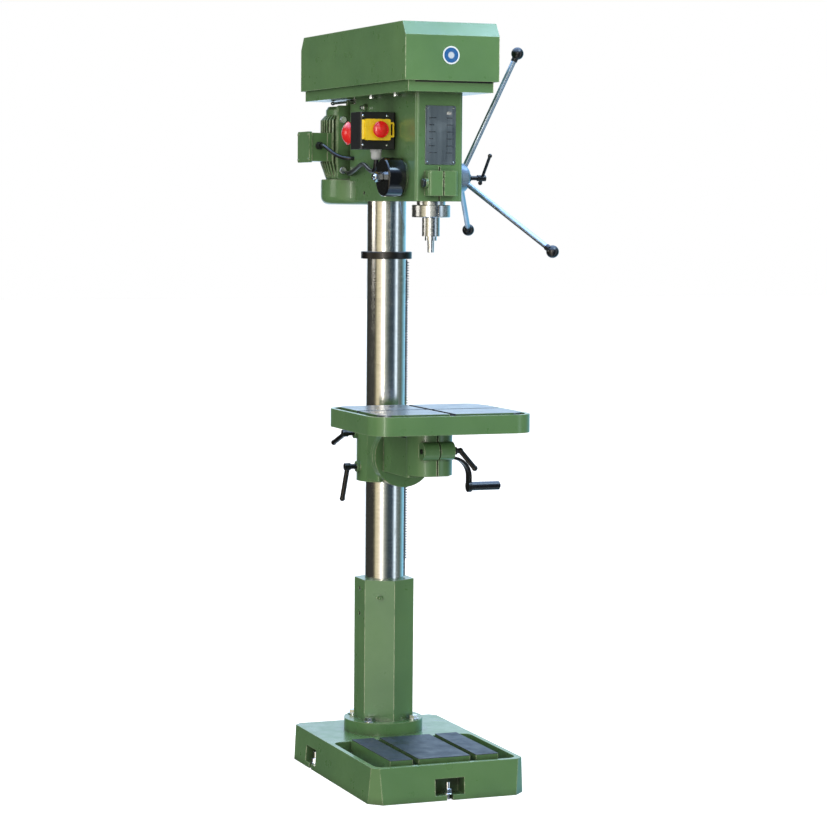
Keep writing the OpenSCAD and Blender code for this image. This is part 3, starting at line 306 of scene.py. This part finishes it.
label_low, label_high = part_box("hood_label")
MATERIALS = {
    "green_paint": painted("green_paint"),
    "sheet_green": painted("sheet_green", 1.02, 0.00002, 0.00001, 0.0, 0.35),
    "base_green": machined_casting("base_green", *pad_box(), colour=(0.045, 0.056, 0.064), rough=0.48,
                                   streak=(1, 0.05, 1), dirt=0.55, edge_brown=0.7),
    "table_green": machined_casting("table_green", *table_box(), colour=(0.24, 0.26, 0.28), rough=0.30,
                                    streak=(0.05, 1, 1), dirt=0.07, edge_brown=0.15),
    "polished_column": metal("polished_column", (0.68, 0.66, 0.62), 0.17, (0.6, 0.6, 9.0), 0.00001, 0.22,
                             size=90.0, aniso=0.3),
    "machined_steel": metal("machined_steel", (0.56, 0.56, 0.55), 0.24, (1, 1, 4), 0.000004, 0.2),
    "dark_fasteners": metal("dark_fasteners", (0.13, 0.13, 0.135), 0.34, wear_and_highlight=0.4),
    "zinc_fasteners": metal("zinc_fasteners", (0.74, 0.75, 0.76), 0.22, stain=0.35),
    "black_oxide": metal("black_oxide", (0.045, 0.043, 0.042), 0.36, grain=0.00004, stain=0.3, wear_and_highlight=0.5,
                         stain_colour=(0.09, 0.06, 0.04)),
    "brushed_plate": metal("brushed_plate", (0.38, 0.40, 0.395), 0.32, (1, 1, 0.02), 0.0000002, 0.0,
                           size=90.0),
    "gloss_black": plastic("gloss_black", (0.006, 0.006, 0.007), 0.13, 0.000003, 0.2, 500.0, 0.1),
    "knob_black": plastic("knob_black", (0.006, 0.006, 0.007), 0.26, 0.000003, 0.0, 500.0, 0.1),
    "black_plastic": plastic("black_plastic", (0.009, 0.009, 0.010), 0.36, 0.00003),
    "grey_plastic": plastic("grey_plastic", (0.44, 0.455, 0.455), 0.40),
    "black_rubber": belt_material("black_rubber"),
    "cable_black": plastic("cable_black", (0.006, 0.006, 0.008), 0.32, 0.00001, 0.1, 400.0),
    "cast_aluminium": metal("cast_aluminium", (0.62, 0.63, 0.64), 0.30, (1, 1, 5), 0.00003, 0.2),
    "blue_label": label_material("blue_label", tuple((label_low + label_high) / 2),
                                 (label_high.x - label_low.x) / 2),
    "yellow_plastic": plastic("yellow_plastic", (0.95, 0.66, 0.012), 0.30, 0.00002, 0.3),
    "red_plastic": plastic("red_plastic", (0.80, 0.012, 0.010), 0.24, 0.00001, 0.5),
    "green_plastic": plastic("green_plastic", (0.02, 0.30, 0.06), 0.28, 0.00001, 0.4),
    "satin_steel": metal("satin_steel", (0.40, 0.46, 0.53), 0.38, (1, 1, 1), 0.0000002, 0.0, size=40.0),
}


# ---- CAD nodes: rounded edges and materials ----

def modifier(piece, kind, **settings):
    added = piece.modifiers.new(kind.lower(), kind)
    for key, value in settings.items():
        setattr(added, key, value)
    return added


def dress(node, material, edge=0.0, rounds=2, angle=32):
    """Gives a CAD node its material, and rounds its sharp edges by edge millimetres."""
    piece = NODES[node]
    piece.data.materials.clear()
    piece.data.materials.append(MATERIALS[material])
    for polygon in piece.data.polygons:
        polygon.use_smooth = True
    modifier(piece, "WELD", merge_threshold=0.00002)
    if edge:
        modifier(piece, "DECIMATE", decimate_type="DISSOLVE", angle_limit=math.radians(0.5),
                 delimit={"SHARP"})
        modifier(piece, "BEVEL", width=edge * MM, segments=rounds, limit_method="ANGLE",
                 angle_limit=math.radians(angle), harden_normals=True, use_clamp_overlap=True,
                 miter_outer="MITER_ARC", profile=0.6)
    modifier(piece, "WEIGHTED_NORMAL", keep_sharp=True, weight=60)


FINISH = {
    "base_casting": ("base_green", 2.2, 3), "column_foot": ("green_paint", 1.6, 3),
    "head_casting": ("green_paint", 2.0, 3), "table_bracket": ("green_paint", 2.0, 3),
    "table_arm": ("green_paint", 1.8, 3), "work_table": ("table_green", 1.2, 3),
    "hood": ("sheet_green", 1.6, 3), "belt_tray": ("sheet_green", 0.8, 2),
    "motor_mount": ("green_paint", 1.0, 2), "motor_housing": ("green_paint", 0.8, 2),
    "fan_cowl": ("sheet_green", 0.3, 2), "terminal_box": ("green_paint", 0.6, 2),
    "terminal_lid": ("green_paint", 0.8, 2),
    "hold_down_bolts": ("zinc_fasteners", 0.4, 2), "foot_bolts": ("zinc_fasteners", 0.5, 2),
    "head_fixings": ("zinc_fasteners", 0.3, 2), "motor_fixings": ("zinc_fasteners", 0.3, 2),
    "taper_arbor": ("zinc_fasteners", 0.2, 2),
    "quill_bearings": ("zinc_fasteners", 0.2, 2), "pulley_bearings": ("zinc_fasteners", 0.2, 2),
    "clamp_screws": ("dark_fasteners", 0.4, 2),
    "hood_hinge": ("dark_fasteners", 0.3, 2), "tilt_bolt": ("dark_fasteners", 0.6, 2),
    "return_spring": ("dark_fasteners", 0.0, 1),
    "column_tube": ("polished_column", 0.8, 2), "column_rack": ("machined_steel", 0.25, 1),
    "lift_gear": ("machined_steel", 0.2, 1), "crank_shaft": ("machined_steel", 0.5, 2),
    "quill": ("machined_steel", 0.3, 2), "quill_ring": ("machined_steel", 0.4, 2),
    "spindle": ("machined_steel", 0.5, 2), "feed_shaft": ("zinc_fasteners", 0.5, 2),
    "motor_rotor": ("machined_steel", 0.5, 2),
    "rack_collar": ("black_oxide", 0.6, 2), "crank_arm": ("black_oxide", 0.8, 2),
    "table_lock_lever": ("black_oxide", 0.4, 2), "upper_clamp_lever": ("black_oxide", 0.4, 2),
    "lower_clamp_lever": ("black_oxide", 0.4, 2), "depth_lock_bar": ("black_oxide", 0.3, 2),
    "data_plate": ("brushed_plate", 0.3, 2),
    "spring_cap": ("gloss_black", 1.2, 3), "feed_knobs": ("knob_black", 0.5, 2),
    "crank_grip": ("knob_black", 1.5, 3),
    "switch_box": ("black_plastic", 1.0, 3), "estop_box": ("black_plastic", 1.0, 3),
    "motor_fan": ("black_plastic", 0.3, 1),
    "switch_gland": ("grey_plastic", 0.5, 2), "terminal_gland": ("black_plastic", 0.4, 2),
    "drive_belt": ("black_rubber", 0.8, 2), "motor_lead": ("cable_black", 0, 1),
    "switch_lead": ("cable_black", 0, 1),
    "spindle_pulley": ("cast_aluminium", 0.5, 2), "motor_pulley": ("cast_aluminium", 0.5, 2),
    "hood_label": ("blue_label", 0.15, 1), "switch_flap": ("yellow_plastic", 0.7, 2),
    "stop_button": ("red_plastic", 0.6, 3), "estop_button": ("red_plastic", 0.6, 3),
    "start_button": ("green_plastic", 0.6, 2),
    "feed_hub": ("satin_steel", 0.6, 2), "feed_arms": ("satin_steel", 0.0, 1),
}
for node_name, (material_name, edge_mm, edge_rounds) in FINISH.items():
    dress(node_name, material_name, edge_mm, edge_rounds)


# ---- Pieces that only the looks need ----

def as_piece(name, mesh, material, body):
    """A piece from a bmesh, shaded smooth and riding on a body."""
    data = bpy.data.meshes.new(name)
    bmesh.ops.recalc_face_normals(mesh, faces=mesh.faces)
    mesh.to_mesh(data)
    mesh.free()
    piece = bpy.data.objects.new(name, data)
    SCENE.collection.objects.link(piece)
    data.materials.append(MATERIALS[material])
    for polygon in data.polygons:
        polygon.use_smooth = True
    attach(piece, body)
    return piece


def turn_to(axis):
    """A rotation that takes +Z to axis."""
    return Vector((0, 0, 1)).rotation_difference(Vector(axis)).to_matrix().to_4x4()


def lathe(mesh, profile, place, axis, steps=32):
    """Adds a closed body of revolution: profile is a list of (radius, height) from one end to the other."""
    turn = Matrix.Translation(place) @ turn_to(axis)
    rings = []
    for radius, height in profile:
        if radius == 0:
            rings.append([mesh.verts.new(turn @ Vector((0, 0, height)))])
            continue
        angles = (2 * math.pi * k / steps for k in range(steps))
        rings.append([mesh.verts.new(turn @ Vector((radius * math.cos(a), radius * math.sin(a), height)))
                      for a in angles])
    for one, two in zip(rings, rings[1:]):
        for k in range(steps):
            m = (k + 1) % steps
            corners = [one[k % len(one)], one[m % len(one)], two[m % len(two)], two[k % len(two)]]
            unique = list(dict.fromkeys(corners))
            if len(unique) > 2:
                mesh.faces.new(unique)


def brick(mesh, low, high):
    """Adds a box between two corners."""
    made = bmesh.ops.create_cube(mesh, size=1.0)
    for vertex in made["verts"]:
        vertex.co = Vector([low[i] if vertex.co[i] < 0 else high[i] for i in range(3)])


def screw_head(mesh, place, axis, radius, height):
    """A round pan head."""
    lathe(mesh, [(0, 0), (radius, 0), (radius, height * 0.5), (radius * 0.8, height * 0.9),
                 (radius * 0.45, height), (0, height)], place, axis, 24)


def switch_screws():
    """Four bright screws that hold the switch box's front."""
    low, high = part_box("switch_box")
    mesh = bmesh.new()
    for x in (low.x + 6 * MM, low.x + 64 * MM):
        for z in (low.z + 9 * MM, high.z - 9 * MM):
            screw_head(mesh, (x, low.y, z), (0, -1, 0), 2.7 * MM, 1.6 * MM)
    return as_piece("switch_screws", mesh, "zinc_fasteners", "root")


def smooth_lead(name, node, route, radius, body):
    """A lead along its route, as one smooth tube in place of the plain solid."""
    curve = bpy.data.curves.new(name, "CURVE")
    curve.dimensions = "3D"
    curve.bevel_depth = radius
    curve.bevel_resolution = 6
    curve.resolution_u = 8
    curve.use_fill_caps = True
    line = curve.splines.new("BEZIER")
    line.bezier_points.add(len(route) - 1)
    points = [Vector(p) * MM for p in route]
    for i, (bezier, point) in enumerate(zip(line.bezier_points, points)):
        bezier.co = point
        bezier.handle_left_type = bezier.handle_right_type = "AUTO"
    piece = bpy.data.objects.new(name, curve)
    SCENE.collection.objects.link(piece)
    curve.materials.append(MATERIALS["cable_black"])
    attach(piece, body)
    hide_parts(node)
    return piece


MOTOR_ROUTE = [(-108, 172, 1475), (-108, 158, 1475), (-108, 144, 1474), (-106, 132, 1470),
               (-101, 119, 1463), (-94, 107, 1455), (-86, 96, 1449), (-78, 86, 1445.5), (-71, 77.5, 1444),
               (-64, 73.6, 1444), (-57, 73, 1444), (-51, 72.7, 1444)]
SWITCH_ROUTE = [(-96.5, -185, 1452), (-96.5, -185, 1438), (-96, -181, 1424), (-95, -170, 1414),
                (-93, -154, 1411), (-91, -134, 1413), (-89, -112, 1418.5), (-86, -88, 1424.5),
                (-83, -65, 1427.5), (-80, -42, 1427), (-77, -18, 1423.5), (-74, 8, 1418.5),
                (-71, 34, 1414), (-69, 58, 1410.5), (-68, 74, 1409), (-66.5, 84, 1409),
                (-62.5, 90.5, 1409), (-57, 92, 1409), (-51, 92.3, 1409)]


def plate_marks():
    """Blank lines and one pale square on the data plate, in place of its print."""
    low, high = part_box("data_plate")
    front = low.y
    dark, pale = bmesh.new(), bmesh.new()
    for row in range(6):
        z = high.z - (28 + row * 15.5) * MM
        for x, length in ((low.x + 9 * MM, (17, 12, 15, 10, 14, 19)[row]), (high.x - 22 * MM, 14)):
            brick(dark, (x, front - 0.05 * MM, z), (x + length * MM, front + 0.2 * MM, z + 1.6 * MM))
    brick(pale, (high.x - 22 * MM, front - 0.06 * MM, high.z - 20 * MM),
          (high.x - 10 * MM, front + 0.2 * MM, high.z - 13 * MM))
    as_piece("plate_rows", dark, "black_plastic", "root")
    as_piece("plate_square", pale, "grey_plastic", "root")


def hub_marks():
    """A ring of engraved-looking depth marks round the feed hub's flange."""
    low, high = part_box("feed_hub")
    centre = Vector((low.x, (low.y + high.y) / 2, (low.z + high.z) / 2))
    radius = (high.z - low.z) / 2
    mesh = bmesh.new()
    for k in range(60):
        angle = 2 * math.pi * k / 60
        length = 7 * MM if k % 5 == 0 else 4 * MM
        made = bmesh.ops.create_cube(mesh, size=1.0)["verts"]
        shape = Matrix.Diagonal((length, 0.6 * MM, 0.3 * MM, 1))
        place = Matrix.Translation(centre) @ Matrix.Rotation(angle, 4, "X") @ Matrix.Translation(
            (2 * MM + length / 2, 0, radius - 0.08 * MM))
        bmesh.ops.transform(mesh, matrix=place @ shape, verts=made)
    as_piece("hub_marks", mesh, "black_plastic", "feed")


def tray_gap_shadow():
    """A black strip between the hood's lower edge and the front of the tray: a painted shadow of the gap
    there, made in the belt's rubber material.
    """
    low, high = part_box("belt_tray")
    mesh = bmesh.new()
    brick(mesh, (low.x + 16.5 * MM, low.y - 1.4 * MM, high.z - 17.4 * MM),
          (high.x - 3.5 * MM, low.y - 0.05 * MM, high.z - 13.5 * MM))
    as_piece("tray_gap_shadow", mesh, "black_rubber", "root")


switch_screws()
tray_gap_shadow()
smooth_lead("motor_cable", "motor_lead", MOTOR_ROUTE, 4.5 * MM, "root")
smooth_lead("switch_cable", "switch_lead", SWITCH_ROUTE, 5.5 * MM, "root")
plate_marks()
hub_marks()


# ---- Floor, world and lights ----

def make_floor():
    """A plain pale floor, just under the machine."""
    mesh = bmesh.new()
    bmesh.ops.create_grid(mesh, x_segments=1, y_segments=1, size=30)
    data = bpy.data.meshes.new("floor")
    mesh.to_mesh(data)
    mesh.free()
    floor = bpy.data.objects.new("floor", data)
    floor.location.z = -0.0005
    floor.visible_glossy = floor.visible_diffuse = False
    SCENE.collection.objects.link(floor)
    material, s, where = new_material("floor_paper")
    white = s.step(s.noise(where, 3.0), 0.3, 0.7, 0.90, 0.93)
    finish_shader(s, Base_Color=s.mix(white, rgb(0, 0, 0), rgb(1, 1, 1)), Roughness=0.9,
                  Emission_Color=rgb(1, 1, 1), Emission_Strength=0.62)
    data.materials.append(material)


# Azimuth in degrees from +X towards +Y, and the colour that the studio has there, seen in shiny surfaces
STUDIO = [(-180, (0.09, 0.09, 0.075)), (-172, (0.20, 0.18, 0.12)), (-165, (0.85, 0.78, 0.52)),
          (-152, (1.05, 0.94, 0.66)), (-141, (1.25, 1.12, 0.90)), (-134, (1.9, 1.85, 1.75)),
          (-122, (1.9, 1.9, 1.85)), (-114, (0.50, 0.55, 0.50)), (-100, (0.16, 0.20, 0.20)),
          (-88, (0.05, 0.08, 0.10)),
          (-62, (0.05, 0.08, 0.12)), (-53, (0.6, 0.8, 1.0)), (-49, (1.6, 1.9, 2.2)), (-42, (1.4, 1.7, 2.0)),
          (-36, (0.25, 0.32, 0.34)), (-5, (0.12, 0.16, 0.14)), (12, (0.26, 0.55, 0.70)),
          (45, (0.4, 1.0, 1.45)), (60, (1.05, 1.35, 1.65)), (85, (1.05, 1.35, 1.65)),
          (95, (0.30, 0.33, 0.34)), (104, (0.03, 0.035, 0.03)), (140, (0.05, 0.05, 0.045))]


def make_world():
    """White to the camera, even to matt surfaces, and a studio of bright and dark bands to shiny ones."""
    world = bpy.data.worlds.new("studio")
    world.use_nodes = True
    SCENE.world = world
    s = Shader(world.node_tree)
    parts = s.add("ShaderNodeSeparateXYZ", Vector=s.add("ShaderNodeTexCoord").outputs["Generated"]).outputs
    turn = s.math("ARCTAN2", parts[1], parts[0])
    ramp = s.add("ShaderNodeValToRGB", i0=s.step(turn, -math.pi, math.pi))
    stops = ramp.color_ramp.elements
    while len(stops) < len(STUDIO):
        stops.new(0.5)
    peak = 2.5
    for stop, (azimuth, colour) in zip(stops, STUDIO):
        stop.position = (azimuth + 180) / 360
        stop.color = rgb(*(c / peak for c in colour))
    bands = s.add("ShaderNodeBackground", Color=ramp.outputs[0], Strength=peak)
    overhead = s.step(parts[2], 0.55, 0.82, 1.0, 4.6)
    sky = s.add("ShaderNodeBackground", Color=rgb(0.50, 0.76, 1.25), Strength=overhead)
    high = s.step(parts[2], 0.35, 0.62)
    shiny = s.add("ShaderNodeMixShader", Fac=high)
    s.tree.links.new(bands.outputs[0], shiny.inputs[1])
    s.tree.links.new(sky.outputs[0], shiny.inputs[2])
    even = s.add("ShaderNodeBackground", Color=rgb(1.0, 0.98, 0.98), Strength=0.70)
    white = s.add("ShaderNodeBackground", Color=rgb(1, 1, 1), Strength=1.0)
    path = s.add("ShaderNodeLightPath").outputs
    lit = s.add("ShaderNodeMixShader", Fac=path["Is Glossy Ray"])
    s.tree.links.new(even.outputs[0], lit.inputs[1])
    s.tree.links.new(shiny.outputs[0], lit.inputs[2])
    seen = s.add("ShaderNodeMixShader", Fac=path["Is Camera Ray"])
    s.tree.links.new(lit.outputs[0], seen.inputs[1])
    s.tree.links.new(white.outputs[0], seen.inputs[2])
    out = s.add("ShaderNodeOutputWorld")
    s.tree.links.new(seen.outputs[0], out.inputs[0])


def softbox(name, azimuth, elevation, distance, width, height, radiance, colour, aim=(0, -0.15, 0.9)):
    """A soft lamp seen from aim at azimuth and elevation, in degrees, of the given brightness."""
    data = bpy.data.lights.new(name, "AREA")
    data.shape = "RECTANGLE"
    data.size, data.size_y = width, height
    data.energy = radiance * math.pi * width * height
    data.color = colour
    lamp = bpy.data.objects.new(name, data)
    a, e = math.radians(azimuth), math.radians(elevation)
    out = Vector((math.cos(a) * math.cos(e), math.sin(a) * math.cos(e), math.sin(e)))
    lamp.location = Vector(aim) + distance * out
    lamp.rotation_euler = out.to_track_quat("Z", "Y").to_euler()
    lamp.visible_camera = False
    SCENE.collection.objects.link(lamp)


make_floor()
make_world()
softbox("key", -52, 50, 3.0, 1.4, 1.2, 9.5, (0.64, 0.91, 1.06), aim=(0, -0.3, 1.6))
softbox("front_fill", -100, 15, 3.5, 1.6, 1.6, 1.9, (1.0, 0.97, 0.88), aim=(0, -0.3, 1.45))
softbox("edge_strip", -128, 12, 4.0, 0.25, 3.0, 16.0, (1.0, 0.95, 0.85))
softbox("left_fill", 172, 5, 3.0, 1.2, 1.0, 3.2, (1.0, 0.97, 0.90), aim=(0, 0.3, 1.45))
softbox("back_rim", 110, 40, 4.0, 2.4, 1.2, 2.0, (0.92, 0.97, 1.0))
SCENE.view_settings.view_transform = "Standard"
SCENE.view_settings.look = "None"
